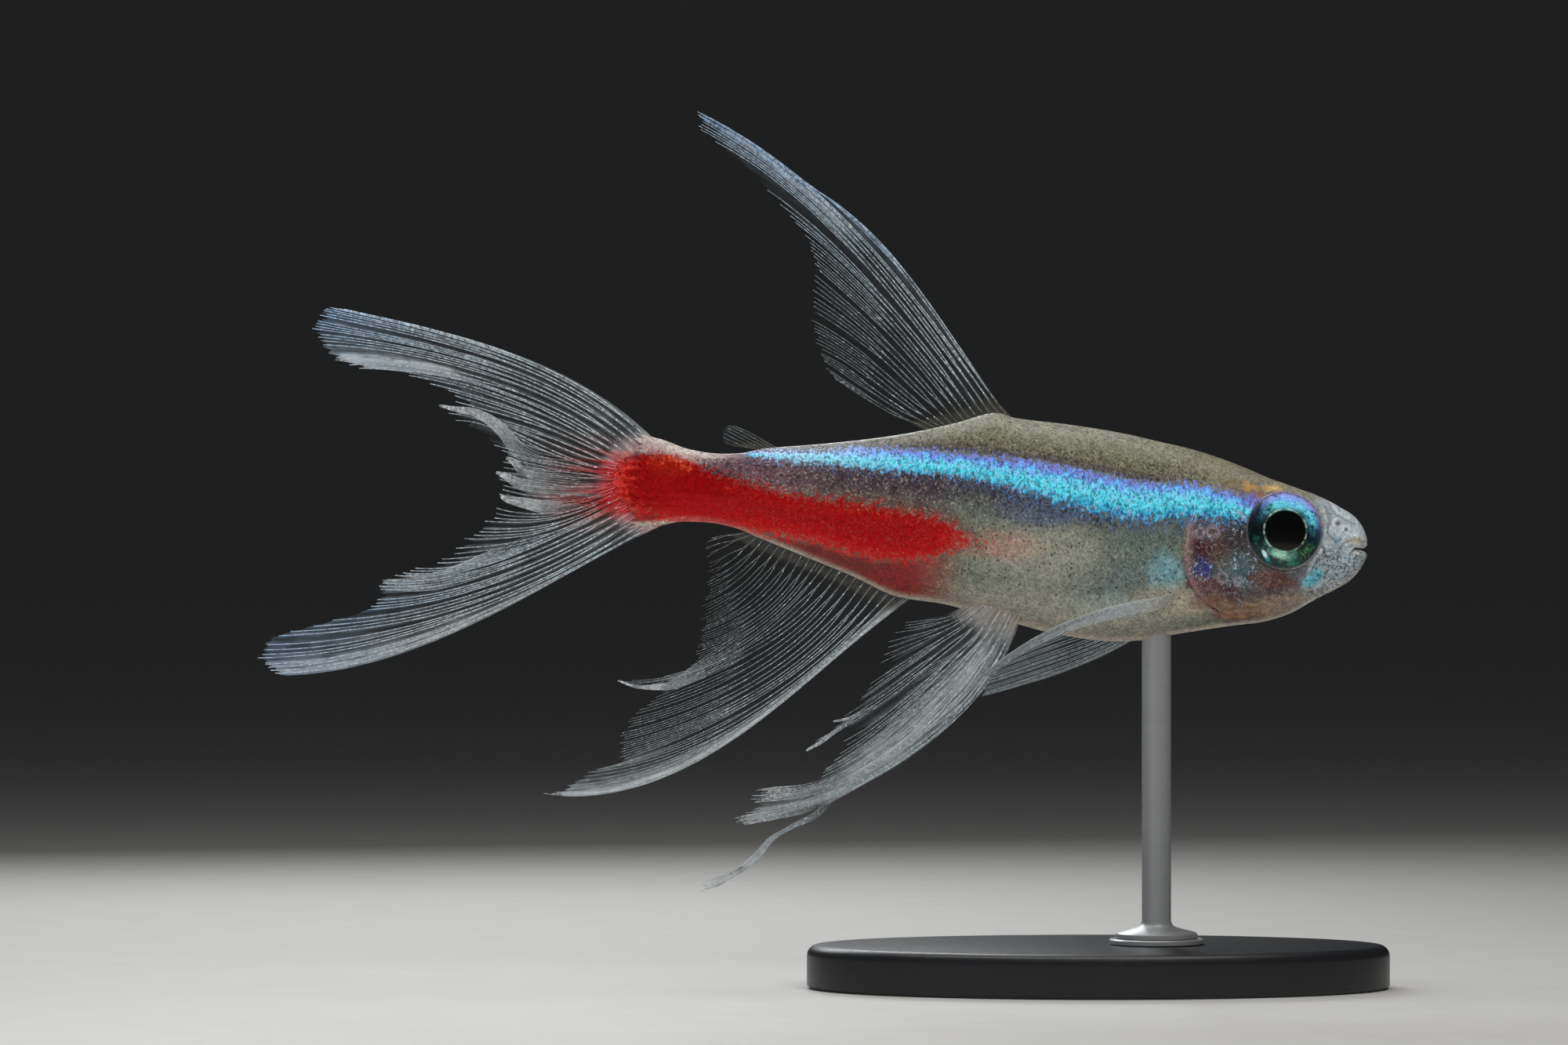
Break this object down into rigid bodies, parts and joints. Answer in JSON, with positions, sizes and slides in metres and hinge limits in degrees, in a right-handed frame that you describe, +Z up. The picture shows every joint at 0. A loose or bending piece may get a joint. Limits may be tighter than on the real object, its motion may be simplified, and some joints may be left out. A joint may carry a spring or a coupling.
{
  "type": "long-finned neon tetra on a display stand",
  "caption": "Life-size still model of a long-finned neon tetra with flowing fins, swimming level on a small oval foot and rod.",
  "frame": {"origin": "centre of the underside of the stand's foot, where the part rests", "axes": "+X ahead of the fish, towards its snout; +Y to the fish's left; +Z up"},
  "size_m": [0.0466, 0.015, 0.036],
  "materials": {
    "skin": "wet scaled skin, iridescent blue stripe, red rear flank",
    "eye": "wet, clear cornea over a blue and black iris",
    "fin": "thin translucent membrane between whitish rays",
    "stand_foot": "satin black",
    "stand_rod": "satin"
  },
  "bodies": {
    "root": {"head": "skin", "lower_jaw": "skin", "gill_cover_right": "skin", "gill_cover_left": "skin", "trunk": "skin", "tail_stem": "skin", "eye_right": "eye", "eye_left": "eye", "dorsal_fin": "fin", "adipose_fin": "fin", "caudal_fin_upper": "fin", "caudal_fin_lower": "fin", "anal_fin": "fin", "pelvic_fin_right": "fin", "pelvic_fin_left": "fin", "pectoral_fin_right": "fin", "pectoral_fin_left": "fin", "stand_base": "stand_foot", "stand_rod": "stand_rod"}
  },
  "joints": []
}
